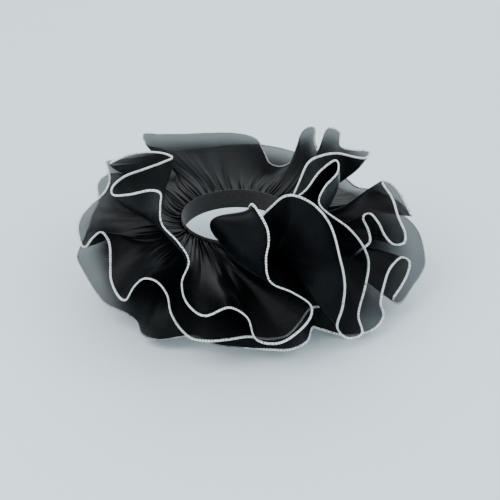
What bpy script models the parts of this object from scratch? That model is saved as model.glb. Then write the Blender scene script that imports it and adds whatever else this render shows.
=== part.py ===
# Ruffled organza collar: an elastic neckband with three deep gathered ruffles.
# Metres, +Z up, front towards -Y. The origin is the middle of the neckband.
import math
from collections import namedtuple

import bmesh
import bpy
from mathutils import Vector

MM = 0.001

# Neckband
BAND_OUTER_RADIUS = 58.0
BAND_THICKNESS = 1.5
BAND_HEIGHT = 22.0
BAND_SIDES = 96

# Cloth
WALL = 1.2
SEAM_GAP = 0.45
HEADING = 4.0  # flat stretch between the seam and the first fold
CLOTH_REACH = 130.0  # how far slack cloth could reach, from which its belly is worked out
BELLY_LIMIT = 30.0  # most that slack cloth bellies out
SOFTNESS = 12.0  # how many places on each side a fold's shape is spread over at the seam
GATHER_DEPTH = 1.3  # at most, and less where the gathers are closer
GATHER_STEEPNESS = 0.22
GATHER_REACH = 0.4  # share of the width over which the gathers fade
RINGS = (0.0, 0.15, 0.3, 0.5, 0.75, 1.0)

# One row for each fold along a ruffle, going round from the back over the left, front and right.
# seam: azimuth on the neckband, edge: azimuth of the outer edge (both in degrees, 0 is the front,
# +90 the wearer's left), out: distance of the edge from the neck's axis, up: its height (mm).
# puff and sway move the middle of the strip up and sideways, towards larger azimuths (mm).
Fold = namedtuple("Fold", "seam edge out up puff sway", defaults=(0, 0))
Ruffle = namedtuple("Ruffle", "name height belly steps folds")

TOP_FOLDS = [
    Fold(-180, -180, 158, 30),
    Fold(-170, -170, 162, 30),
    Fold(-161, -158, 160, 34),
    Fold(-153, -148, 164, 38),
    Fold(-146, -140, 163, 44),
    Fold(-141, -139, 155, 36, 1),
    Fold(-136, -147, 150, 25),
    Fold(-131, -154, 142, 14, -2),
    Fold(-126, -146, 141, 7, -2),
    Fold(-120, -132, 151, 20),
    Fold(-115, -115, 152, 38),
    Fold(-110, -125, 141, 42),
    Fold(-105, -138, 128, 37),
    Fold(-100, -142, 115, 34),
    Fold(-95, -132, 109, 36),
    Fold(-90, -113, 108, 43),
    Fold(-85, -97, 119, 48),
    Fold(-81, -86, 128, 48),
    Fold(-77, -77, 128, 50),
    Fold(-73, -68, 116, 58),
    Fold(-69, -57, 101, 69),
    Fold(-65, -46, 102, 74),
    Fold(-61, -38, 118, 72),
    Fold(-57, -31, 136, 64),
    Fold(-53, -22, 143, 53),
    Fold(-49, -17, 151, 40),
    Fold(-45, -19, 157, 18),
    Fold(-41, -17, 159, -3),
    Fold(-37, -11, 160, -14),
    Fold(-33, -2, 159, -3),
    Fold(-29, 4, 157, -16),
    Fold(-26, 8, 153, -46),
    Fold(-23.5, 16, 157, -49),
    Fold(-21, 27, 154, -34),
    Fold(-18, 28, 157, -16, -2, -2),
    Fold(-14.5, 20, 159, 8, -2, -4),
    Fold(-11, 12, 157, 23, 0, -8),
    Fold(-7.5, 11, 151, 43, 5, -16),
    Fold(-4.5, 13, 141, 58, 14, -28),
    Fold(-1.5, 13, 131, 68, 24, -40),
    Fold(1.5, 9, 112, 82, 32, -46),
    Fold(5, 8, 98, 74, 28, -40),
    Fold(9, 8, 88, 60, 16, -26),
    Fold(13, 10, 80, 44, 4, -10),
    Fold(17, 12, 74, 38),
    Fold(21, 22, 84, 60),
    Fold(25, 29, 105, 83, 4, -4),
    Fold(29, 37, 120, 77, 4, -8),
    Fold(33, 41, 138, 58, 2, -12),
    Fold(37, 41, 154, 26, 0, -18),
    Fold(41, 44, 154, -6, 0, -24),
    Fold(45, 45, 150, -36, 0, -28),
    Fold(48, 44, 146, -62, 0, -26),
    Fold(51, 48, 151, -77, 0, -18),
    Fold(54, 53, 160, -74, 0, -8),
    Fold(57, 55, 151, -58),
    Fold(60, 61, 149, -36),
    Fold(63, 64, 149, -12),
    Fold(66, 56, 151, 22),
    Fold(69, 50, 144, 46),
    Fold(72, 44, 116, 69),
    Fold(75, 52, 109, 78),
    Fold(78, 66, 110, 84, 0, 3),
    Fold(81, 75, 103, 88, 2, 4),
    Fold(84, 62, 94, 85, 2, 2),
    Fold(87, 46, 94, 74),
    Fold(90, 42, 84, 64),
    Fold(93, 56, 74, 68),
    Fold(97, 80, 73, 78),
    Fold(101, 98, 88, 74),
    Fold(104, 105, 108, 69),
    Fold(107, 103, 136, 62),
    Fold(110, 110, 149, 60),
    Fold(114, 117, 136, 57),
    Fold(118, 124, 134, 55),
    Fold(122, 132, 150, 60),
    Fold(126, 139, 150, 58),
    Fold(129.5, 140, 145, 44),
    Fold(133, 139, 138, 33),
    Fold(136.5, 143, 142, 40),
    Fold(139.5, 147, 156, 50),
    Fold(142.5, 150, 152, 49),
    Fold(145.5, 152, 148, 40),
    Fold(149, 151, 140, 26),
    Fold(153, 152, 132, 17),
    Fold(158, 156, 120, 13),
    Fold(162, 161, 112, 18),
    Fold(167, 166, 124, 25),
    Fold(173, 172, 146, 30),
]

MIDDLE_FOLDS = [
    Fold(-180, -180, 166, 12),
    Fold(-170, -170, 174, 6),
    Fold(-160, -158, 178, 4),
    Fold(-152, -148, 178, 7),
    Fold(-142, -138, 177, 12),
    Fold(-133, -130, 176, 19),
    Fold(-126, -121, 168, 28),
    Fold(-120, -119, 160, 20),
    Fold(-114, -118, 158, 12),
    Fold(-107, -113, 157, 5),
    Fold(-100, -103, 161, 3),
    Fold(-94, -93, 166, 1),
    Fold(-89, -86, 166, -4),
    Fold(-84, -82, 161, -16),
    Fold(-80, -81, 151, -3),
    Fold(-76, -77, 142, 8),
    Fold(-72, -75, 136, -2),
    Fold(-69, -70, 138, -18),
    Fold(-65, -65, 142, -32),
    Fold(-61, -57, 143, -41),
    Fold(-57, -50, 145, -36),
    Fold(-53, -43, 146, -10),
    Fold(-49, -36, 149, 6),
    Fold(-45, -31, 148, 6),
    Fold(-41, -26, 151, -4),
    Fold(-37, -24, 155, -20),
    Fold(-32, -21, 152, -38),
    Fold(-27, -17, 147, -51),
    Fold(-21, -10, 144, -53),
    Fold(-15, -2, 140, -52),
    Fold(-8, 5, 136, -52),
    Fold(0, 13, 134, -58),
    Fold(8, 22, 134, -58),
    Fold(16, 30, 128, -50),
    Fold(24, 37, 122, -44),
    Fold(32, 44, 120, -48),
    Fold(40, 52, 124, -52),
    Fold(48, 61, 128, -42),
    Fold(56, 67, 122, -22),
    Fold(61, 71, 133, -8),
    Fold(65, 74, 142, 0),
    Fold(69, 78, 138, 10),
    Fold(73, 79, 132, 22),
    Fold(77, 81, 138, 25),
    Fold(81, 81, 148, 14),
    Fold(85, 81, 155, 0),
    Fold(89, 81, 165, -10),
    Fold(93, 82, 175, -10),
    Fold(97, 84, 176, -2),
    Fold(101, 88, 168, 12),
    Fold(105, 94, 163, 25),
    Fold(109, 98, 153, 40),
    Fold(114, 99, 165, 34),
    Fold(119, 97, 176, 20),
    Fold(125, 93, 184, 4),
    Fold(132, 104, 179, 4),
    Fold(138, 114, 161, 6),
    Fold(144, 124, 158, -2),
    Fold(149, 134, 164, -2),
    Fold(154, 143, 169, -2),
    Fold(159, 151, 168, 6),
    Fold(165, 160, 170, 8),
    Fold(172, 170, 168, 12),
]

BOTTOM_FOLDS = [
    Fold(-180, -180, 158, -22),
    Fold(-169, -168, 166, -14),
    Fold(-158, -156, 162, -26),
    Fold(-147, -145, 158, -14),
    Fold(-136, -134, 168, -2),
    Fold(-126, -125, 174, 8),
    Fold(-117, -118, 174, 5),
    Fold(-110, -113, 165, -7),
    Fold(-103, -107, 164, -14),
    Fold(-96, -98, 162, -22),
    Fold(-89, -89, 166, -27),
    Fold(-83, -81, 168, -27),
    Fold(-77, -78, 161, -43),
    Fold(-71, -72, 154, -54),
    Fold(-65, -65, 148, -60),
    Fold(-59, -58, 134, -66),
    Fold(-53, -52, 130, -70),
    Fold(-47, -45, 135, -76),
    Fold(-41, -37, 130, -77),
    Fold(-34, -29, 122, -72),
    Fold(-26, -20, 120, -66),
    Fold(-17, -10, 124, -70),
    Fold(-7, 2, 122, -74),
    Fold(3, 14, 126, -76),
    Fold(12, 24, 134, -76),
    Fold(21, 32, 134, -72),
    Fold(30, 39, 122, -68),
    Fold(40, 46, 118, -78),
    Fold(48, 54, 140, -86),
    Fold(53, 60, 163, -78),
    Fold(58, 66, 166, -70),
    Fold(63, 66, 162, -57, 2),
    Fold(68, 71, 161, -42, 4),
    Fold(74, 78, 163, -34, 6),
    Fold(80, 82, 173, -27, 6),
    Fold(86, 83, 182, -32, 4),
    Fold(91, 80, 181, -42),
    Fold(96, 77, 176, -52, -2),
    Fold(101, 72, 170, -62, -4),
    Fold(106, 75, 176, -70, -8),
    Fold(110, 84, 186, -66, -8),
    Fold(114, 91, 200, -54, -6),
    Fold(118, 97, 202, -42, -4),
    Fold(122, 103, 198, -28, -2),
    Fold(127, 112, 180, -16),
    Fold(134, 124, 170, -20),
    Fold(141, 136, 176, -28),
    Fold(150, 147, 168, -18),
    Fold(160, 158, 162, -12),
    Fold(170, 169, 164, -22),
]

RUFFLES = [
    Ruffle("ruffle_top", 7.0, 0.7, 3, TOP_FOLDS),
    Ruffle("ruffle_middle", 0.0, 0.4, 3, MIDDLE_FOLDS),
    Ruffle("ruffle_bottom", -7.0, 0.3, 3, BOTTOM_FOLDS),
]


def clear_scene():
    for obj in list(bpy.data.objects):
        bpy.data.objects.remove(obj)


def material(name, colour, roughness):
    made = bpy.data.materials.new(name)
    made.use_nodes = True
    shader = made.node_tree.nodes["Principled BSDF"]
    shader.inputs["Base Color"].default_value = (*colour, 1)
    shader.inputs["Roughness"].default_value = roughness
    shader.inputs["Metallic"].default_value = 0
    return made


def around(azimuth, radius, height):
    angle = math.radians(azimuth)
    return Vector((radius * math.sin(angle), -radius * math.cos(angle), height))


def fold_line(folds, steps):
    """Seam azimuth, edge point, middle's sway and puff, and gather phase along a ruffle.

    They follow a smooth closed curve through its folds."""
    count = len(folds)
    places = [around(fold.edge, fold.out, fold.up) for fold in folds]
    middles = [Vector((fold.sway, fold.puff, 0)) for fold in folds]

    def place(i):
        return places[i % count]

    def middle(i):
        return middles[i % count]

    def seam(i):
        return folds[i % count].seam + 360 * (i // count)

    def span(i):
        return math.sqrt((place(i + 1) - place(i)).length)

    def slope(value, i):
        before, after = span(i - 1), span(i)
        return (
            (value(i) - value(i - 1)) * (after / before) + (value(i + 1) - value(i)) * (before / after)
        ) / (before + after)

    def blend(value, i, t):
        length = span(i)
        t2, t3 = t * t, t * t * t
        return (
            value(i) * (2 * t3 - 3 * t2 + 1)
            + slope(value, i) * (length * (t3 - 2 * t2 + t))
            + value(i + 1) * (3 * t2 - 2 * t3)
            + slope(value, i + 1) * (length * (t3 - t2))
        )

    line = []
    for i in range(count):
        for step in range(steps):
            t = step / steps
            line.append((blend(seam, i, t), blend(place, i, t), blend(middle, i, t), t))
    return line


def belly(start, end, share):
    """How far the slack cloth between two points bellies outwards at its middle."""
    chord = end - start
    flat = math.hypot(chord.x, chord.y)
    length = chord.length
    slack = max(CLOTH_REACH / length - 1, 0)
    depth = min(length * math.sqrt(0.375 * slack), BELLY_LIMIT) * share
    middle = (start + end) / 2
    outwards = Vector((middle.x, middle.y, 0)).normalized()
    rise, run = chord.z / length, flat / length
    return outwards * (depth * rise * rise) - Vector((0, 0, depth * rise * run))


def softened(points, reach):
    """Each point averaged with its neighbours round the ruffle, over a bell curve this many places wide."""
    if reach < 0.3:
        return points
    count = len(points)
    far = math.ceil(2.5 * reach)
    weights = [math.exp(-0.5 * (k / reach) ** 2) for k in range(-far, far + 1)]
    total = sum(weights)
    return [
        sum((points[(i + k) % count] * w for k, w in zip(range(-far, far + 1), weights)), Vector()) / total
        for i in range(count)
    ]


def ruffle_rings(ruffle):
    """Rings of points round the ruffle, from its seam to its outer edge."""
    inner = BAND_OUTER_RADIUS + SEAM_GAP
    line = fold_line(ruffle.folds, ruffle.steps)
    count = len(line)
    starts, ends, bellies, sides, gathers = [], [], [], [], []
    for i, (seam, end, mid, phase) in enumerate(line):
        spacing = math.radians((seam - line[i - 1][0]) % 360) * inner * ruffle.steps
        depth = min(GATHER_DEPTH, GATHER_STEEPNESS * spacing)
        start = around(seam, inner + HEADING, ruffle.height)
        side = around(math.degrees(math.atan2(start.x + end.x, -start.y - end.y)) + 90, mid.x, mid.y)
        starts.append(start)
        ends.append(end)
        bellies.append(belly(start, end, ruffle.belly))
        sides.append(side)
        gathers.append(Vector((0, 0, depth * math.sin(2 * math.pi * phase))))
    rings = [[around(line[i][0], inner, ruffle.height) + gathers[i] for i in range(count)]]
    for t in RINGS:
        fade = max(1 - t / GATHER_REACH, 0) ** 1.5
        reach = SOFTNESS * (1 - t) ** 1.5
        edge, sag, drape = softened(ends, reach), softened(bellies, reach), softened(sides, reach)
        arch = 4 * t * (1 - t)
        rings.append(
            [
                starts[i].lerp(edge[i], t) + sag[i] * arch + drape[i] * arch * arch + gathers[i] * fade
                for i in range(count)
            ]
        )
    return rings


def sheet_object(name, rings, look):
    """A closed strip of cloth through the rings, given its wall by Solidify."""
    shape = bmesh.new()
    grid = [[shape.verts.new(point * MM) for point in ring] for ring in rings]
    for inner, outer in zip(grid, grid[1:]):
        for i in range(len(inner)):
            shape.faces.new((inner[i - 1], outer[i - 1], outer[i], inner[i]))
    mesh = bpy.data.meshes.new(name)
    shape.to_mesh(mesh)
    shape.free()
    mesh.shade_smooth()
    made = bpy.data.objects.new(name, mesh)
    bpy.context.scene.collection.objects.link(made)
    mesh.materials.append(look)
    wall = made.modifiers.new("Wall", "SOLIDIFY")
    wall.thickness = WALL * MM
    wall.offset = 0
    return made


def neckband(look):
    shape = bmesh.new()
    inner, outer = BAND_OUTER_RADIUS - BAND_THICKNESS, BAND_OUTER_RADIUS
    half = BAND_HEIGHT / 2
    profile = [(inner, -half), (outer, -half), (outer, half), (inner, half)]
    rings = []
    for side in range(BAND_SIDES):
        azimuth = 360 * side / BAND_SIDES
        rings.append([shape.verts.new(around(azimuth, r, z) * MM) for r, z in profile])
    for here, after in zip(rings, rings[1:] + rings[:1]):
        for k in range(4):
            shape.faces.new((here[k], after[k], after[(k + 1) % 4], here[(k + 1) % 4]))
    bmesh.ops.recalc_face_normals(shape, faces=shape.faces)
    mesh = bpy.data.meshes.new("neckband")
    shape.to_mesh(mesh)
    shape.free()
    mesh.materials.append(look)
    made = bpy.data.objects.new("neckband", mesh)
    bpy.context.scene.collection.objects.link(made)
    return made


def main():
    clear_scene()
    organza = material("black organza", (0.012, 0.014, 0.016), 0.45)
    elastic = material("black elastic", (0.02, 0.02, 0.022), 0.8)
    neckband(elastic)
    for ruffle in RUFFLES:
        sheet_object(ruffle.name, ruffle_rings(ruffle), organza)


main()
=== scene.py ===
# Ruffled collar: three tiers of sheer black organza with white overlocked edges on an elastic neckband.
# Metres, +Z up, the wearer's front towards -Y, the neck's axis on Z.
import math
from collections import namedtuple

import bmesh
import bpy
import numpy as np
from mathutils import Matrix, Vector, noise


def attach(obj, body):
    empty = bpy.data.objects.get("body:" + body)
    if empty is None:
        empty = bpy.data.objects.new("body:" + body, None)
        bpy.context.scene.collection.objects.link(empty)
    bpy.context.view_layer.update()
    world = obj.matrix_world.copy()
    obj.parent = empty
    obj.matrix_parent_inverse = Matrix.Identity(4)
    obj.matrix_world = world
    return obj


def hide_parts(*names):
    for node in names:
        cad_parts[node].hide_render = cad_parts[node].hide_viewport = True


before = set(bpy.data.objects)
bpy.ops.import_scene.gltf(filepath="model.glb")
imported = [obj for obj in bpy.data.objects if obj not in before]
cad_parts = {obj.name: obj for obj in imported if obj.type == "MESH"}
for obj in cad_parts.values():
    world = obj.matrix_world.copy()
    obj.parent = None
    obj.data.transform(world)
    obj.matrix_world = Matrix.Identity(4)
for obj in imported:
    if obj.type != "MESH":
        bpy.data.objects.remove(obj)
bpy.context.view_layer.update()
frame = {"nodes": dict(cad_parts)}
print("frame loaded:", ", ".join(frame["nodes"]))

mm = 0.001

# Each row is one fold along a ruffle, from the back over the wearer's right, the front and the left.
# seam: azimuth on the neckband, edge: azimuth of the outer edge (degrees, 0 is the front), out: the
# edge's distance from the neck's axis, up: its height, puff and sway: how far the middle of the
# strip stands up and sideways (mm).
foldRow = namedtuple("foldRow", "seam edge out up puff sway", defaults=(0, 0))

topFolds = [
    foldRow(-180, -180, 158, 30),
    foldRow(-170, -170, 162, 30),
    foldRow(-161, -158, 160, 34),
    foldRow(-153, -148, 164, 38),
    foldRow(-146, -140, 163, 44),
    foldRow(-141, -139, 155, 36, 1),
    foldRow(-136, -147, 150, 25),
    foldRow(-131, -154, 142, 14, -2),
    foldRow(-126, -146, 141, 7, -2),
    foldRow(-120, -132, 151, 20),
    foldRow(-115, -115, 152, 38),
    foldRow(-110, -125, 141, 42),
    foldRow(-105, -138, 128, 37),
    foldRow(-100, -142, 115, 34),
    foldRow(-95, -132, 109, 36),
    foldRow(-90, -113, 108, 43),
    foldRow(-85, -97, 119, 48),
    foldRow(-81, -86, 128, 48),
    foldRow(-77, -77, 128, 50),
    foldRow(-73, -68, 116, 58),
    foldRow(-69, -57, 101, 69),
    foldRow(-65, -46, 102, 74),
    foldRow(-61, -38, 118, 72),
    foldRow(-57, -31, 136, 64),
    foldRow(-53, -22, 143, 53),
    foldRow(-49, -17, 151, 40),
    foldRow(-45, -19, 157, 18),
    foldRow(-41, -17, 159, -3),
    foldRow(-37, -11, 160, -14),
    foldRow(-33, -2, 159, -3),
    foldRow(-29, 4, 157, -16),
    foldRow(-26, 8, 153, -46),
    foldRow(-23.5, 16, 157, -49),
    foldRow(-21, 27, 154, -34),
    foldRow(-18, 28, 157, -16, -2, -2),
    foldRow(-14.5, 20, 159, 8, -2, -4),
    foldRow(-11, 12, 157, 23, 0, -8),
    foldRow(-7.5, 11, 151, 43, 5, -16),
    foldRow(-4.5, 13, 141, 58, 14, -28),
    foldRow(-1.5, 13, 131, 68, 24, -40),
    foldRow(1.5, 9, 112, 82, 32, -46),
    foldRow(5, 8, 98, 74, 28, -40),
    foldRow(9, 8, 88, 60, 16, -26),
    foldRow(13, 10, 80, 44, 4, -10),
    foldRow(17, 12, 74, 38),
    foldRow(21, 22, 84, 60),
    foldRow(25, 29, 105, 83, 4, -4),
    foldRow(29, 37, 120, 77, 4, -8),
    foldRow(33, 41, 138, 58, 2, -12),
    foldRow(37, 41, 154, 26, 0, -18),
    foldRow(41, 44, 154, -6, 0, -24),
    foldRow(45, 45, 150, -36, 0, -28),
    foldRow(48, 44, 146, -62, 0, -26),
    foldRow(51, 48, 151, -77, 0, -18),
    foldRow(54, 53, 160, -74, 0, -8),
    foldRow(57, 55, 151, -58),
    foldRow(60, 61, 149, -36),
    foldRow(63, 64, 149, -12),
    foldRow(66, 56, 151, 22),
    foldRow(69, 50, 144, 46),
    foldRow(72, 44, 116, 69),
    foldRow(75, 52, 109, 78),
    foldRow(78, 66, 110, 84, 0, 3),
    foldRow(81, 75, 103, 88, 2, 4),
    foldRow(84, 62, 94, 85, 2, 2),
    foldRow(87, 46, 94, 74),
    foldRow(90, 42, 84, 64),
    foldRow(93, 56, 74, 68),
    foldRow(97, 80, 73, 78),
    foldRow(101, 98, 88, 74),
    foldRow(104, 105, 108, 69),
    foldRow(107, 103, 136, 62),
    foldRow(110, 110, 149, 60),
    foldRow(114, 117, 136, 57),
    foldRow(118, 124, 134, 55),
    foldRow(122, 132, 150, 60),
    foldRow(126, 139, 150, 58),
    foldRow(129.5, 140, 145, 44),
    foldRow(133, 139, 138, 33),
    foldRow(136.5, 143, 142, 40),
    foldRow(139.5, 147, 156, 50),
    foldRow(142.5, 150, 152, 49),
    foldRow(145.5, 152, 148, 40),
    foldRow(149, 151, 140, 26),
    foldRow(153, 152, 132, 17),
    foldRow(158, 156, 120, 13),
    foldRow(162, 161, 112, 18),
    foldRow(167, 166, 124, 25),
    foldRow(173, 172, 146, 30),
]

middleFolds = [
    foldRow(-180, -180, 166, 12),
    foldRow(-170, -170, 174, 6),
    foldRow(-160, -158, 178, 4),
    foldRow(-152, -148, 178, 7),
    foldRow(-142, -138, 177, 12),
    foldRow(-133, -130, 176, 19),
    foldRow(-126, -121, 168, 28),
    foldRow(-120, -119, 160, 20),
    foldRow(-114, -118, 158, 12),
    foldRow(-107, -113, 157, 5),
    foldRow(-100, -103, 161, 3),
    foldRow(-94, -93, 166, 1),
    foldRow(-89, -86, 166, -4),
    foldRow(-84, -82, 161, -16),
    foldRow(-80, -81, 151, -3),
    foldRow(-76, -77, 142, 8),
    foldRow(-72, -75, 136, -2),
    foldRow(-69, -70, 138, -18),
    foldRow(-65, -65, 142, -32),
    foldRow(-61, -57, 143, -41),
    foldRow(-57, -50, 145, -36),
    foldRow(-53, -43, 146, -10),
    foldRow(-49, -36, 149, 6),
    foldRow(-45, -31, 148, 6),
    foldRow(-41, -26, 151, -4),
    foldRow(-37, -24, 155, -20),
    foldRow(-32, -21, 152, -38),
    foldRow(-27, -17, 147, -51),
    foldRow(-21, -10, 144, -53),
    foldRow(-15, -2, 140, -52),
    foldRow(-8, 5, 136, -52),
    foldRow(0, 13, 134, -58),
    foldRow(8, 22, 134, -58),
    foldRow(16, 30, 128, -50),
    foldRow(24, 37, 122, -44),
    foldRow(32, 44, 120, -48),
    foldRow(40, 52, 124, -52),
    foldRow(48, 61, 128, -42),
    foldRow(56, 67, 122, -22),
    foldRow(61, 71, 133, -8),
    foldRow(65, 74, 142, 0),
    foldRow(69, 78, 138, 10),
    foldRow(73, 79, 132, 22),
    foldRow(77, 81, 138, 25),
    foldRow(81, 81, 148, 14),
    foldRow(85, 81, 155, 0),
    foldRow(89, 81, 165, -10),
    foldRow(93, 82, 175, -10),
    foldRow(97, 84, 176, -2),
    foldRow(101, 88, 168, 12),
    foldRow(105, 94, 163, 25),
    foldRow(109, 98, 153, 40),
    foldRow(114, 99, 165, 34),
    foldRow(119, 97, 176, 20),
    foldRow(125, 93, 184, 4),
    foldRow(132, 104, 179, 4),
    foldRow(138, 114, 161, 6),
    foldRow(144, 124, 158, -2),
    foldRow(149, 134, 164, -2),
    foldRow(154, 143, 169, -2),
    foldRow(159, 151, 168, 6),
    foldRow(165, 160, 170, 8),
    foldRow(172, 170, 168, 12),
]

bottomFolds = [
    foldRow(-180, -180, 158, -22),
    foldRow(-169, -168, 166, -14),
    foldRow(-158, -156, 162, -26),
    foldRow(-147, -145, 158, -14),
    foldRow(-136, -134, 168, -2),
    foldRow(-126, -125, 174, 8),
    foldRow(-117, -118, 174, 5),
    foldRow(-110, -113, 165, -7),
    foldRow(-103, -107, 164, -14),
    foldRow(-96, -98, 162, -22),
    foldRow(-89, -89, 166, -27),
    foldRow(-83, -81, 168, -27),
    foldRow(-77, -78, 161, -43),
    foldRow(-71, -72, 154, -54),
    foldRow(-65, -65, 148, -60),
    foldRow(-59, -58, 134, -66),
    foldRow(-53, -52, 130, -70),
    foldRow(-47, -45, 135, -76),
    foldRow(-41, -37, 130, -77),
    foldRow(-34, -29, 122, -72),
    foldRow(-26, -20, 120, -66),
    foldRow(-17, -10, 124, -70),
    foldRow(-7, 2, 122, -74),
    foldRow(3, 14, 126, -76),
    foldRow(12, 24, 134, -76),
    foldRow(21, 32, 134, -72),
    foldRow(30, 39, 122, -68),
    foldRow(40, 46, 118, -78),
    foldRow(48, 54, 140, -86),
    foldRow(53, 60, 163, -78),
    foldRow(58, 66, 166, -70),
    foldRow(63, 66, 162, -57, 2),
    foldRow(68, 71, 161, -42, 4),
    foldRow(74, 78, 163, -34, 6),
    foldRow(80, 82, 173, -27, 6),
    foldRow(86, 83, 182, -32, 4),
    foldRow(91, 80, 181, -42),
    foldRow(96, 77, 176, -52, -2),
    foldRow(101, 72, 170, -62, -4),
    foldRow(106, 75, 176, -70, -8),
    foldRow(110, 84, 186, -66, -8),
    foldRow(114, 91, 200, -54, -6),
    foldRow(118, 97, 202, -42, -4),
    foldRow(122, 103, 198, -28, -2),
    foldRow(127, 112, 180, -16),
    foldRow(134, 124, 170, -20),
    foldRow(141, 136, 176, -28),
    foldRow(150, 147, 168, -18),
    foldRow(160, 158, 162, -12),
    foldRow(170, 169, 164, -22),
]

# Creases that are pressed into the cloth: azimuth of the seam that a crease leaves, share of
# the width where it starts and ends, its depth and half its width (mm), negative where it is a ridge.
creaseRow = namedtuple("creaseRow", "seam start end depth half")

topCreases = [
    creaseRow(-71, 0.05, 0.62, 2.2, 3.0),
    creaseRow(-63, 0.00, 0.50, -1.8, 2.6),
    creaseRow(-55, 0.05, 0.80, 2.4, 3.2),
    creaseRow(-46, 0.00, 0.66, -2.0, 2.8),
    creaseRow(-38, 0.02, 0.86, 2.6, 3.4),
    creaseRow(-32, 0.00, 0.52, -2.2, 2.4),
    creaseRow(-26, 0.00, 0.90, 2.4, 3.0),
    creaseRow(-21, 0.05, 0.60, -2.0, 2.4),
    creaseRow(-16, 0.00, 0.82, 2.4, 3.0),
    creaseRow(-9, 0.00, 0.56, -2.0, 2.4),
    creaseRow(-3, 0.08, 0.74, 2.2, 2.8),
    creaseRow(26, 0.05, 0.84, 2.2, 3.6),
    creaseRow(31, 0.00, 0.62, -2.0, 3.0),
    creaseRow(38, 0.04, 0.90, 2.4, 3.8),
    creaseRow(43, 0.00, 0.70, -2.0, 3.0),
    creaseRow(50, 0.05, 0.80, 2.0, 3.0),
    creaseRow(63, 0.05, 0.72, 2.0, 3.0),
    creaseRow(100, 0.05, 0.66, 2.0, 3.0),
    creaseRow(112, 0.00, 0.58, -1.8, 2.6),
    creaseRow(131, 0.05, 0.62, 1.8, 2.8),
    creaseRow(165, 0.02, 0.58, 1.8, 2.8),
    creaseRow(-172, 0.00, 0.70, 1.8, 3.0),
    creaseRow(-160, 0.04, 0.56, -1.8, 2.8),
    creaseRow(-150, 0.00, 0.66, 2.0, 3.0),
    creaseRow(-92, 0.04, 0.60, 2.0, 2.8),
]

middleCreases = [
    creaseRow(-135, 0.05, 0.80, 1.8, 3.0),
    creaseRow(-112, 0.00, 0.62, 1.8, 3.0),
    creaseRow(-98, 0.04, 0.78, 2.0, 3.2),
    creaseRow(-86, 0.00, 0.66, -1.8, 3.0),
    creaseRow(-74, 0.05, 0.82, 2.2, 3.2),
    creaseRow(-62, 0.00, 0.70, -1.8, 2.8),
    creaseRow(-50, 0.05, 0.84, 2.2, 3.2),
    creaseRow(-40, 0.00, 0.60, -1.8, 2.6),
    creaseRow(-30, 0.05, 0.80, 2.0, 3.0),
    creaseRow(80, 0.05, 0.74, 1.6, 2.6),
    creaseRow(96, 0.05, 0.70, 1.6, 2.6),
    creaseRow(112, 0.05, 0.78, 1.8, 3.0),
    creaseRow(128, 0.00, 0.62, -1.6, 2.8),
    creaseRow(150, 0.05, 0.70, 1.6, 3.0),
    creaseRow(172, 0.05, 0.66, 1.6, 3.0),
    creaseRow(-158, 0.05, 0.70, 1.6, 3.0),
]

bottomCreases = [
    creaseRow(-130, 0.05, 0.80, 1.8, 3.2),
    creaseRow(-108, 0.05, 0.72, 1.6, 3.0),
    creaseRow(-90, 0.00, 0.84, 1.8, 3.2),
    creaseRow(-72, 0.05, 0.76, 1.6, 3.0),
    creaseRow(-54, 0.05, 0.80, 1.8, 3.0),
    creaseRow(-36, 0.05, 0.72, 1.6, 3.0),
    creaseRow(-12, 0.05, 0.70, 1.6, 3.0),
    creaseRow(20, 0.05, 0.76, 1.6, 3.0),
    creaseRow(45, 0.05, 0.70, 1.6, 3.0),
    creaseRow(70, 0.05, 0.64, 1.4, 2.6),
    creaseRow(104, 0.05, 0.84, 1.8, 3.2),
    creaseRow(126, 0.05, 0.74, 1.6, 3.0),
    creaseRow(160, 0.05, 0.72, 1.6, 3.0),
    creaseRow(-165, 0.05, 0.72, 1.6, 3.0),
]

# What every ruffle shares, in mm.
cloth = {
    "bandRadius": 58.0,
    "seamGap": 0.45,
    "seamDip": 0.2,  # how far the sewn edge goes into the band
    "heading": 4.0,  # flat stretch between the seam and the first fold
    "reach": 130.0,  # how far slack cloth could reach, from which its belly is worked out
    "bellyLimit": 30.0,
    "softness": 4.0,  # rows of folds that a fold is spread over at the seam
    "softPower": 1.5,
    "gatherDepth": 1.3,
    "gatherSteepness": 0.22,
    "gatherReach": 0.4,
    "gatherPower": 1.5,
    "rings": 30,
    "thickness": 0.35,
    "fineGathers": 118,  # tight gathers round the seam
    "fineDepth": 0.85,
    "fineReach": 0.2,
    "looseShare": 0.55,  # depth of the looser gathers among them
    "looseRate": 0.43,  # how many of them there are
    "looseReach": 2.6,  # how much further they reach
    "looseWander": 2.6,  # and how much more they wander
    "rippleDepth": 0.75,
    "rippleLength": 19.0,
    "rippleFade": 12,  # places over which the ripples die down where the strip's ends meet
}

# height: of the seam (mm), belly: share of its slack that shows, steps: places for each fold,
# cut and area: the flat strip (m and square metres), seed: start of its ripples.
ruffleRow = namedtuple("ruffleRow", "name node height belly steps cut area seed")
ruffles = [
    ruffleRow("topRuffle", "ruffle_top", 7.0, 0.7, 12, (0.100, 2.36), 0.136, 1.0),
    ruffleRow("middleRuffle", "ruffle_middle", 0.0, 0.4, 12, (0.105, 1.45), 0.095, 2.0),
    ruffleRow("bottomRuffle", "ruffle_bottom", -7.0, 0.3, 14, (0.112, 1.36), 0.096, 3.0),
]
folds = {"topRuffle": topFolds, "middleRuffle": middleFolds, "bottomRuffle": bottomFolds}
creases = {"topRuffle": topCreases, "middleRuffle": middleCreases, "bottomRuffle": bottomCreases}


def around(azimuth, radius, height):
    angle = math.radians(azimuth)
    return Vector((radius * math.sin(angle), -radius * math.cos(angle), height))


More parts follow.
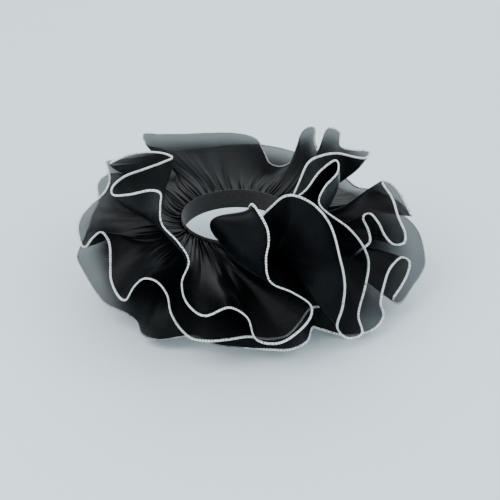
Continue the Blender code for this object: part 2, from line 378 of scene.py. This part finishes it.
# Seam azimuth, edge point, and the middle's sway and puff, for each place on a smooth closed curve.
def foldLine(rows, steps):
    count = len(rows)
    rows = [[row.seam, *around(row.edge, row.out, row.up), row.sway, row.puff] for row in rows]
    values = np.array(rows, float)
    turn = np.array([360.0, 0, 0, 0, 0, 0])

    def at(i):
        return values[i % count] + turn * (i // count)

    def span(i):
        return math.sqrt(np.linalg.norm((at(i + 1) - at(i))[1:4]))

    def slope(i):
        before, after = span(i - 1), span(i)
        return ((at(i) - at(i - 1)) * (after / before) + (at(i + 1) - at(i)) * (before / after)) / (
            before + after
        )

    line = []
    for i in range(count):
        length, leaving, arriving = span(i), slope(i), slope(i + 1)
        for step in range(steps):
            t = step / steps
            t2, t3 = t * t, t * t * t
            line.append(
                at(i) * (2 * t3 - 3 * t2 + 1)
                + leaving * (length * (t3 - 2 * t2 + t))
                + at(i + 1) * (3 * t2 - 2 * t3)
                + arriving * (length * (t3 - t2))
            )
    return np.array(line)


# Each point averaged with its neighbours round the ruffle, over a bell curve.
def softened(points, reach):
    if reach < 0.3:
        return points
    far = math.ceil(2.5 * reach)
    total, weights = np.zeros_like(points), 0.0
    for k in range(-far, far + 1):
        weight = math.exp(-0.5 * (k / reach) ** 2)
        total += np.roll(points, -k, axis=0) * weight
        weights += weight
    return total / weights


# How far the slack cloth bellies outwards between each start and end.
def belly(starts, ends, share):
    chord = ends - starts
    flat = np.hypot(chord[:, 0], chord[:, 1])
    length = np.linalg.norm(chord, axis=1)
    slack = np.maximum(cloth["reach"] / length - 1, 0)
    depth = np.minimum(length * np.sqrt(0.375 * slack), cloth["bellyLimit"]) * share
    outwards = (starts + ends) * np.array([1, 1, 0])
    outwards /= np.linalg.norm(outwards, axis=1)[:, None]
    rise, run = chord[:, 2] / length, flat / length
    bulge = outwards * (depth * rise * rise)[:, None]
    bulge[:, 2] -= depth * rise * run
    return bulge


def smoothStep(low, high, value):
    t = np.clip((value - low) / (high - low), 0, 1)
    return t * t * (3 - 2 * t)


# Shares of the width at which rings are set: closer together by the seam and by the edge.
def ringShares(count):
    even = np.linspace(0, 1, count)
    return even - 0.09 * np.sin(2 * math.pi * even) * (1 - even)


# The ruffle's middle surface as rings of places, in mm, with the seam azimuth of each place.
def ruffleSurface(ruffle):
    line = foldLine(folds[ruffle.name], ruffle.steps)
    seams, ends = line[:, 0], line[:, 1:4]
    inner = cloth["bandRadius"] + cloth["seamGap"]
    starts = np.array([around(seam, inner + cloth["heading"], ruffle.height) for seam in seams])
    middles = starts + ends
    sides = np.column_stack([-middles[:, 1], middles[:, 0], np.zeros(len(seams))])
    sides /= np.linalg.norm(sides, axis=1)[:, None]
    bellies = belly(starts, ends, ruffle.belly)
    drapes = sides * line[:, 4:5]
    drapes[:, 2] += line[:, 5]
    phase = np.tile(np.arange(ruffle.steps) / ruffle.steps, len(folds[ruffle.name]))
    spacing = np.radians(seams - np.roll(seams, 1) + 360 * (seams < np.roll(seams, 1)))
    depth = np.minimum(cloth["gatherDepth"], cloth["gatherSteepness"] * spacing * inner * ruffle.steps)
    gathers = np.column_stack([np.zeros((len(seams), 2)), depth * np.sin(2 * math.pi * phase)])
    seam = [around(azimuth, cloth["bandRadius"] - cloth["seamDip"], ruffle.height) for azimuth in seams]
    rings = [np.array(seam) + gathers]
    shares = ringShares(cloth["rings"])
    for t in shares:
        fade = max(1 - t / cloth["gatherReach"], 0) ** cloth["gatherPower"]
        reach = cloth["softness"] * ruffle.steps * (1 - t) ** cloth["softPower"]
        arch = 4 * t * (1 - t)
        middle = softened(bellies, reach) * arch + softened(drapes, reach) * arch * arch
        rings.append(starts + (softened(ends, reach) - starts) * t + middle + gathers * fade)
    return np.array(rings), np.concatenate([[0], shares]), seams


# Unit normals of the surface, on its upper side.
def upperNormals(rings):
    along = np.roll(rings, -1, axis=1) - np.roll(rings, 1, axis=1)
    across = np.gradient(rings, axis=0)
    normals = np.cross(across, along)
    return normals / np.linalg.norm(normals, axis=2)[:, :, None]


# Length along each ring up to each place.
def ringLengths(rings):
    steps = np.linalg.norm(rings - np.roll(rings, 1, axis=1), axis=2)
    steps[:, 0] = 0
    return np.cumsum(steps, axis=1)


# Fine gathers by the seam, listed creases and soft ripples, as heights above the surface.
def relief(ruffle, rings, shares, seams):
    turn = np.radians(seams)[None, :]
    t = shares[:, None]
    lengths = ringLengths(rings)
    wander = 2.1 * np.sin(7 * turn + ruffle.seed) + 1.3 * np.sin(17 * turn + 2 * ruffle.seed)
    fine = np.sin(cloth["fineGathers"] * turn + wander) * np.exp(-t / cloth["fineReach"])
    loose = np.sin(cloth["looseRate"] * cloth["fineGathers"] * turn + cloth["looseWander"] * wander)
    loose = loose * np.exp(-t / (cloth["looseReach"] * cloth["fineReach"]))
    heights = cloth["fineDepth"] * (fine + cloth["looseShare"] * loose)
    for crease in creases[ruffle.name]:
        here = np.array([np.interp(crease.seam, seams, ring) for ring in lengths])[:, None]
        away = np.abs(lengths - here)
        half = crease.half * (0.5 + 1.3 * t)
        window = smoothStep(crease.start - 0.05, crease.start + 0.08, t) * (
            1 - smoothStep(crease.end - 0.4, crease.end, t)
        )
        heights = heights - crease.depth * np.exp(-away / half) * window
    rippled = np.zeros_like(heights)
    edgeLength = lengths[-1]
    for i in range(rings.shape[0]):
        for j in range(rings.shape[1]):
            rippled[i, j] = noise.noise(
                Vector((edgeLength[j] / cloth["rippleLength"], shares[i] * 2.4, 9.7 * ruffle.seed))
            )
    fade = cloth["rippleFade"]
    rippled[:, -fade:] *= np.linspace(1, 0, fade)
    rippled[:, :fade] *= np.linspace(0, 1, fade)
    return heights + rippled * cloth["rippleDepth"] * np.sin(math.pi * np.clip(t * 0.85, 0, 1))


# A closed strip of cloth: a grid whose ends meet, with its places in rings, and a UV map in metres.
def sheetMesh(name, rings, width, wrapAcross=False):
    ringCount, placeCount = rings.shape[:2]
    length = np.linalg.norm(rings[-1] - np.roll(rings[-1], 1, axis=0), axis=1).sum()
    across = ringCount if wrapAcross else ringCount - 1
    shape = bmesh.new()
    uvLayer = shape.loops.layers.uv.new("UVMap")
    bmesh.ops.create_grid(shape, x_segments=placeCount, y_segments=across, size=1, calc_uvs=True)
    for vert in shape.verts:
        place = round((vert.co.x + 1) / 2 * placeCount) % placeCount
        ring = round((vert.co.y + 1) / 2 * across) % ringCount
        vert.co = Vector(rings[ring, place]) * mm
    for face in shape.faces:
        for loop in face.loops:
            spot = loop[uvLayer].uv
            loop[uvLayer].uv = (spot.x * length * mm, spot.y * width * mm)
    bmesh.ops.remove_doubles(shape, verts=shape.verts, dist=1e-7)
    mesh = bpy.data.meshes.new(name)
    shape.to_mesh(mesh)
    shape.free()
    mesh.shade_smooth()
    made = bpy.data.objects.new(name, mesh)
    bpy.context.scene.collection.objects.link(made)
    return made


# The overlocked edge: a flat rope of thread wrapped round the cloth's rim, with a ridge for each stitch.
edging = {
    "halfWidth": 1.2,
    "halfThickness": 0.75,
    "darkShare": 0.62,  # width of a dark rim as a share of the white one
    "fade": 3.0,  # degrees of the seam over which one passes into the other
    "inset": 0.75,
    "stitch": 1.9,
    "ridge": 0.17,
    "step": 0.42,
    "sides": 8,
    "easing": 4.5,  # steps over which the rope rounds a sharp turn of the rim
    "tiltEasing": 3.0,  # and over which it tilts
}

# Stretches of each rim drawn with darker, narrower thread, as azimuths of the seam.
darkRims = {
    "topRuffle": [(152, 181), (-180, -140)],
    "middleRuffle": [(150, 181), (-180, -150)],
    "bottomRuffle": [(-96, 2), (106, 181), (-180, -150)],
}


# 1 where the rim is drawn dark, 0 where it is white.
def darkness(azimuths, darkSpans):
    dark = np.zeros(len(azimuths))
    for low, high in darkSpans:
        rise = 1 if low == -180 else smoothStep(low, low + edging["fade"], azimuths)
        fall = 0 if high > 180 else smoothStep(high - edging["fade"], high, azimuths)
        dark = np.maximum(dark, rise * (1 - fall))
    return dark


def overlock(name, rings, seams, darkSpans):
    rim, within = rings[-1], rings[-3]
    lengths = np.concatenate([ringLengths(rings)[-1], [0]])
    lengths[-1] = lengths[-2] + np.linalg.norm(rim[0] - rim[-1])
    stitches = round(lengths[-1] / edging["stitch"])
    count = round(lengths[-1] / edging["step"])
    spots = np.arange(count) / count * lengths[-1]

    def along(points):
        closed = np.vstack([points, points[:1]])
        return np.column_stack([np.interp(spots, lengths, closed[:, k]) for k in range(3)])

    middle = softened(along(rim), edging["easing"])
    inwards = softened(along(within), edging["easing"]) - middle
    tangent = np.roll(middle, -2, axis=0) - np.roll(middle, 2, axis=0)
    tangent /= np.linalg.norm(tangent, axis=1)[:, None]
    inwards -= tangent * (inwards * tangent).sum(axis=1)[:, None]
    inwards /= np.linalg.norm(inwards, axis=1)[:, None]
    inwards = softened(inwards, edging["tiltEasing"])
    inwards /= np.linalg.norm(inwards, axis=1)[:, None]
    upper = np.cross(inwards, tangent)
    turn = spots / lengths[-1] * stitches * 2 * math.pi
    azimuths = np.interp(spots, lengths, np.append(seams, seams[0] + 360))
    dark = darkness((azimuths + 180) % 360 - 180, darkSpans)
    share = 1 + (edging["darkShare"] - 1) * dark
    rope = []
    for side in range(edging["sides"]):
        angle = 2 * math.pi * side / edging["sides"]
        swell = (1 + edging["ridge"] * np.cos(turn + angle)) * share
        wide = (edging["halfWidth"] * math.cos(angle) * swell + edging["inset"])[:, None]
        thick = (edging["halfThickness"] * math.sin(angle) * swell)[:, None]
        rope.append(middle + inwards * wide + upper * thick)
    made = sheetMesh(name, np.array(rope), 2 * math.pi * edging["halfThickness"], wrapAcross=True)
    for thread in (whiteThread, darkThread):
        made.data.materials.append(thread)
    alongEdge = made.data.uv_layers[0].data
    for face in made.data.polygons:
        spot = min(alongEdge[loop].uv.x for loop in face.loop_indices) / mm / edging["step"]
        face.material_index = int(dark[min(int(spot), count - 1)] > 0.5)
    return made


# Materials


def newMaterial(name):
    made = bpy.data.materials.new(name)
    made.use_nodes = True
    return made, made.node_tree.nodes, made.node_tree.links, made.node_tree.nodes["Principled BSDF"]


def addNode(nodes, kind, **values):
    node = nodes.new(kind)
    for name, value in values.items():
        if hasattr(node, name):
            setattr(node, name, value)
        else:
            node.inputs[name.replace("_", " ")].default_value = value
    return node


def ramp(nodes, *stops):
    node = nodes.new("ShaderNodeValToRGB")
    elements = node.color_ramp.elements
    for i, (place, colour) in enumerate(stops):
        element = elements[i] if i < 2 else elements.new(place)
        element.position = place
        element.color = (*colour, 1)
    return node


# Rises smoothly from 0 to 1 between two values.
def fromTo(nodes, span):
    node = addNode(nodes, "ShaderNodeMapRange", interpolation_type="SMOOTHSTEP")
    node.inputs["From Min"].default_value, node.inputs["From Max"].default_value = span
    return node


organzaLook = {
    "deep": (0.0010, 0.0012, 0.0016),
    "light": (0.0036, 0.0042, 0.0052),
    "roughness": 0.36,
    "sheen": 0.012,
    "thinAlpha": 0.56,  # each face of the cloth at its edge, so a layer lets a fifth of the light through
    "denseAlpha": 0.985,  # and by the seam, where the cloth is gathered closely
    "thinReach": (0.116, 0.150),  # distance from the neck's axis (m) over which folds come apart
    "thinAcross": (0.058, 0.104),  # the same across the strip, from its seam
    "specular": 0.08,
    "crumple": 0.15,
}


def organzaMaterial():
    look = organzaLook
    made, nodes, links, shader = newMaterial("blackOrganza")
    shader.inputs["Specular IOR Level"].default_value = look["specular"]
    shader.inputs["Sheen Weight"].default_value = look["sheen"]
    shader.inputs["Sheen Roughness"].default_value = 0.35
    shader.inputs["Sheen Tint"].default_value = (0.80, 0.88, 1.0, 1)
    place = nodes.new("ShaderNodeTexCoord")
    split = nodes.new("ShaderNodeSeparateXYZ")
    across = fromTo(nodes, look["thinAcross"])
    links.new(place.outputs["UV"], split.inputs["Vector"])
    links.new(split.outputs["Y"], across.inputs["Value"])
    flatten = addNode(nodes, "ShaderNodeVectorMath", operation="MULTIPLY")
    flatten.inputs[1].default_value = (1, 1, 0)
    reach = addNode(nodes, "ShaderNodeVectorMath", operation="LENGTH")
    outer = fromTo(nodes, look["thinReach"])
    both = addNode(nodes, "ShaderNodeMath", operation="MULTIPLY")
    alpha = addNode(nodes, "ShaderNodeMapRange")
    alpha.inputs["To Min"].default_value = look["denseAlpha"]
    alpha.inputs["To Max"].default_value = look["thinAlpha"]
    links.new(place.outputs["Object"], flatten.inputs[0])
    links.new(flatten.outputs["Vector"], reach.inputs[0])
    links.new(reach.outputs["Value"], outer.inputs["Value"])
    links.new(across.outputs["Result"], both.inputs[0])
    links.new(outer.outputs["Result"], both.inputs[1])
    links.new(both.outputs["Value"], alpha.inputs["Value"])
    links.new(alpha.outputs["Result"], shader.inputs["Alpha"])
    cloud = addNode(nodes, "ShaderNodeTexNoise", Scale=26.0, Detail=3.0)
    tone = ramp(nodes, (0.35, look["deep"]), (0.70, look["light"]))
    links.new(place.outputs["Object"], cloud.inputs["Vector"])
    links.new(cloud.outputs["Fac"], tone.inputs["Fac"])
    links.new(tone.outputs["Color"], shader.inputs["Base Color"])
    rough = addNode(nodes, "ShaderNodeMapRange")
    rough.inputs["To Min"].default_value = look["roughness"] - 0.08
    rough.inputs["To Max"].default_value = look["roughness"] + 0.12
    links.new(cloud.outputs["Fac"], rough.inputs["Value"])
    links.new(rough.outputs["Result"], shader.inputs["Roughness"])
    crumple = addNode(nodes, "ShaderNodeTexNoise", Scale=90.0, Detail=2.0)
    links.new(place.outputs["Object"], crumple.inputs["Vector"])
    dents = addNode(nodes, "ShaderNodeBump", Strength=look["crumple"], Distance=0.0014)
    links.new(crumple.outputs["Fac"], dents.inputs["Height"])
    links.new(dents.outputs["Normal"], shader.inputs["Normal"])
    return made


edgingLook = {
    "gap": (0.02, 0.02, 0.022),
    "valleyShade": (0.22, 0.23, 0.24),  # painted shade between two turns of the thread
    "twist": 105.0,  # turns 3 mm apart
    "gapSize": (0.20, 0.32),  # how far the dark specks between the threads reach
    "white": ((0.80, 0.82, 0.84), (0.97, 0.98, 0.98)),  # shaded and lit thread
    "greyed": ((0.10, 0.11, 0.12), (0.40, 0.42, 0.44)),  # the same in darker thread, for the dark stretches of rim
}


def edgingMaterial(name, threads):
    look = edgingLook
    made, nodes, links, shader = newMaterial(name)
    shader.inputs["Roughness"].default_value = 0.85
    shader.inputs["Sheen Weight"].default_value = 0.25
    shader.inputs["Specular IOR Level"].default_value = 0.25
    place = nodes.new("ShaderNodeTexCoord")
    fuzz = addNode(nodes, "ShaderNodeTexNoise", Scale=900.0, Detail=3.0)
    tone = ramp(nodes, (0.30, threads[0]), (0.52, threads[1]))
    speck = addNode(nodes, "ShaderNodeTexVoronoi", Scale=420.0)
    speckRamp = ramp(nodes, (look["gapSize"][0], (0, 0, 0)), (look["gapSize"][1], (1, 1, 1)))
    mixed = addNode(nodes, "ShaderNodeMix", data_type="RGBA")
    links.new(place.outputs["Object"], fuzz.inputs["Vector"])
    links.new(place.outputs["Object"], speck.inputs["Vector"])
    links.new(fuzz.outputs["Fac"], tone.inputs["Fac"])
    links.new(speck.outputs["Distance"], speckRamp.inputs["Fac"])
    links.new(speckRamp.outputs["Color"], mixed.inputs[0])
    mixed.inputs[6].default_value = (*look["gap"], 1)
    links.new(tone.outputs["Color"], mixed.inputs[7])
    # Painted shade: the colour is darkened in the valleys between turns of the thread.
    twist = addNode(nodes, "ShaderNodeTexWave", Scale=look["twist"], Distortion=0.8)
    twistShadeRamp = ramp(nodes, (0.05, look["valleyShade"]), (0.32, (1, 1, 1)))
    shaded = addNode(nodes, "ShaderNodeMix", data_type="RGBA", blend_type="MULTIPLY")
    shaded.inputs[0].default_value = 1
    links.new(place.outputs["UV"], twist.inputs["Vector"])
    links.new(twist.outputs["Fac"], twistShadeRamp.inputs["Fac"])
    links.new(mixed.outputs[2], shaded.inputs[6])
    links.new(twistShadeRamp.outputs["Color"], shaded.inputs[7])
    links.new(shaded.outputs[2], shader.inputs["Base Color"])
    fibres = addNode(nodes, "ShaderNodeBump", Strength=0.35, Distance=0.0003)
    links.new(fuzz.outputs["Fac"], fibres.inputs["Height"])
    links.new(fibres.outputs["Normal"], shader.inputs["Normal"])
    return made


def elasticMaterial():
    made, nodes, links, shader = newMaterial("blackElastic")
    shader.inputs["Roughness"].default_value = 0.82
    shader.inputs["Sheen Weight"].default_value = 0.2
    place = nodes.new("ShaderNodeTexCoord")
    cloud = addNode(nodes, "ShaderNodeTexNoise", Scale=300.0, Detail=3.0)
    tone = ramp(nodes, (0.3, (0.004, 0.004, 0.0045)), (0.7, (0.013, 0.013, 0.015)))
    ribs = addNode(nodes, "ShaderNodeTexWave", Scale=160.0, bands_direction="Z")
    bump = addNode(nodes, "ShaderNodeBump", Strength=0.5, Distance=0.0004)
    links.new(place.outputs["Object"], cloud.inputs["Vector"])
    links.new(place.outputs["Object"], ribs.inputs["Vector"])
    links.new(cloud.outputs["Fac"], tone.inputs["Fac"])
    links.new(tone.outputs["Color"], shader.inputs["Base Color"])
    links.new(ribs.outputs["Fac"], bump.inputs["Height"])
    links.new(bump.outputs["Normal"], shader.inputs["Normal"])
    return made


organza, elastic = organzaMaterial(), elasticMaterial()
whiteThread = edgingMaterial("whiteOverlock", edgingLook["white"])
darkThread = edgingMaterial("greyedOverlock", edgingLook["greyed"])
print("materials made")

# Ruffles and their edges

for ruffle in ruffles:
    rings, shares, seams = ruffleSurface(ruffle)
    rings = rings + upperNormals(rings) * relief(ruffle, rings, shares, seams)[:, :, None]
    sheet = sheetMesh(ruffle.name, rings, 1000 * ruffle.cut[0])
    sheet.data.materials.append(organza)
    wall = sheet.modifiers.new("Cloth", "SOLIDIFY")
    wall.thickness = cloth["thickness"] * mm
    wall.offset = 0
    rope = overlock(ruffle.name + "Edge", rings, seams, darkRims[ruffle.name])
    for piece in (sheet, rope):
        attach(piece, "root")
    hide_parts(ruffle.node)
    print(ruffle.name, "edge", round(ringLengths(rings)[-1].max()), "mm")

# Neckband: a ring of elastic in a casing, with shallow ribs

band = {
    "outer": 58.0,
    "inner": 56.5,
    "height": 22.0,
    "round": 0.6,
    "ribs": 110,
    "ribDepth": 0.22,
    "steps": 330,
}


def neckband():
    shape = bmesh.new()
    half, soft = band["height"] / 2, band["round"]
    profile = [
        (band["outer"], -half + soft),
        (band["outer"], half - soft),
        (band["outer"] - soft, half),
        (band["inner"] + soft, half),
        (band["inner"], half - soft),
        (band["inner"], -half + soft),
        (band["inner"] + soft, -half),
        (band["outer"] - soft, -half),
    ]
    verts = [shape.verts.new((0, -radius * mm, height * mm)) for radius, height in profile]
    edges = [shape.edges.new((verts[i - 1], verts[i])) for i in range(len(verts))]
    long = [edge for edge in edges if edge.calc_length() > 5 * mm]
    bmesh.ops.subdivide_edges(shape, edges=long, cuts=10)
    bmesh.ops.spin(
        shape,
        geom=shape.verts[:] + shape.edges[:],
        cent=(0, 0, 0),
        axis=(0, 0, 1),
        angle=2 * math.pi,
        steps=band["steps"],
        use_merge=True,
    )
    for vert in shape.verts:
        turn = math.atan2(vert.co.x, -vert.co.y)
        level = vert.co.z / mm
        rib = math.cos(band["ribs"] * turn + 0.4 * math.sin(9 * turn))
        dip = band["ribDepth"] * (0.6 + 0.4 * math.cos(level * 1.9)) * rib
        vert.co.xy *= 1 - (band["ribDepth"] - dip) * 0.5 / band["outer"]
    bmesh.ops.remove_doubles(shape, verts=shape.verts, dist=1e-6)
    bmesh.ops.recalc_face_normals(shape, faces=shape.faces)
    mesh = bpy.data.meshes.new("elasticBand")
    shape.to_mesh(mesh)
    shape.free()
    mesh.shade_smooth()
    made = bpy.data.objects.new("elasticBand", mesh)
    bpy.context.scene.collection.objects.link(made)
    return made


bandPiece = neckband()
bandPiece.data.materials.append(elastic)
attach(bandPiece, "root")
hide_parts("neckband")
print("neckband made")

# Studio: a pale floor, soft lights and the camera

studio = {
    "floorColour": (0.755, 0.865, 0.90),
    "floorHeight": -0.0905,
    "floorSize": 14.0,
    "worldColour": (0.79, 0.885, 0.94),
    "worldStrength": 1.22,
    "cameraPlace": (0.0136, -1.2806, 0.7079),
    "cameraPitch": 60.0,  # degrees up from straight down
    "lens": 100.8,
}
softLights = [  # place, size (m), power (W), colour
    ((-0.9, -0.8, 1.5), 1.1, 26.0, (1.0, 0.98, 0.96)),
    ((1.2, -0.5, 1.2), 1.2, 12.0, (0.93, 0.97, 1.0)),
    ((0.1, 1.5, 1.1), 1.4, 14.0, (0.95, 0.98, 1.0)),
]


def addLight(place, size, power, colour):
    data = bpy.data.lights.new("softLight", "AREA")
    data.size = size
    data.energy = power
    data.color = colour
    light = bpy.data.objects.new("softLight", data)
    light.location = place
    light.rotation_euler = (-Vector(place)).to_track_quat("-Z", "Y").to_euler()
    bpy.context.scene.collection.objects.link(light)


def floorMaterial():
    made, nodes, links, shader = newMaterial("paleFloor")
    shader.inputs["Roughness"].default_value = 0.9
    place = nodes.new("ShaderNodeTexCoord")
    cloud = addNode(nodes, "ShaderNodeTexNoise", Scale=0.8, Detail=2.0)
    low = tuple(0.97 * part for part in studio["floorColour"])
    tone = ramp(nodes, (0.3, low), (0.7, studio["floorColour"]))
    links.new(place.outputs["Object"], cloud.inputs["Vector"])
    links.new(cloud.outputs["Fac"], tone.inputs["Fac"])
    links.new(tone.outputs["Color"], shader.inputs["Base Color"])
    return made


floorShape = bmesh.new()
bmesh.ops.create_grid(floorShape, x_segments=1, y_segments=1, size=studio["floorSize"] / 2)
bmesh.ops.translate(floorShape, verts=floorShape.verts, vec=(0, 0, studio["floorHeight"]))
floorMesh = bpy.data.meshes.new("floor")
floorShape.to_mesh(floorMesh)
floorShape.free()
floor = bpy.data.objects.new("floor", floorMesh)
floor.data.materials.append(floorMaterial())
bpy.context.scene.collection.objects.link(floor)

for place, size, power, colour in softLights:
    addLight(place, size, power, colour)
world = bpy.data.worlds.new("studio")
world.use_nodes = True
world.node_tree.nodes["Background"].inputs["Color"].default_value = (*studio["worldColour"], 1)
world.node_tree.nodes["Background"].inputs["Strength"].default_value = studio["worldStrength"]
bpy.context.scene.world = world

cameraData = bpy.data.cameras.new("camera")
cameraData.lens = studio["lens"]
cameraData.sensor_width = 36
cameraData.clip_end = 50
camera = bpy.data.objects.new("camera", cameraData)
camera.location = studio["cameraPlace"]
camera.rotation_euler = (math.radians(studio["cameraPitch"]), 0, 0)
bpy.context.scene.collection.objects.link(camera)
bpy.context.scene.camera = camera
print("studio made")

bpy.context.view_layer.update()
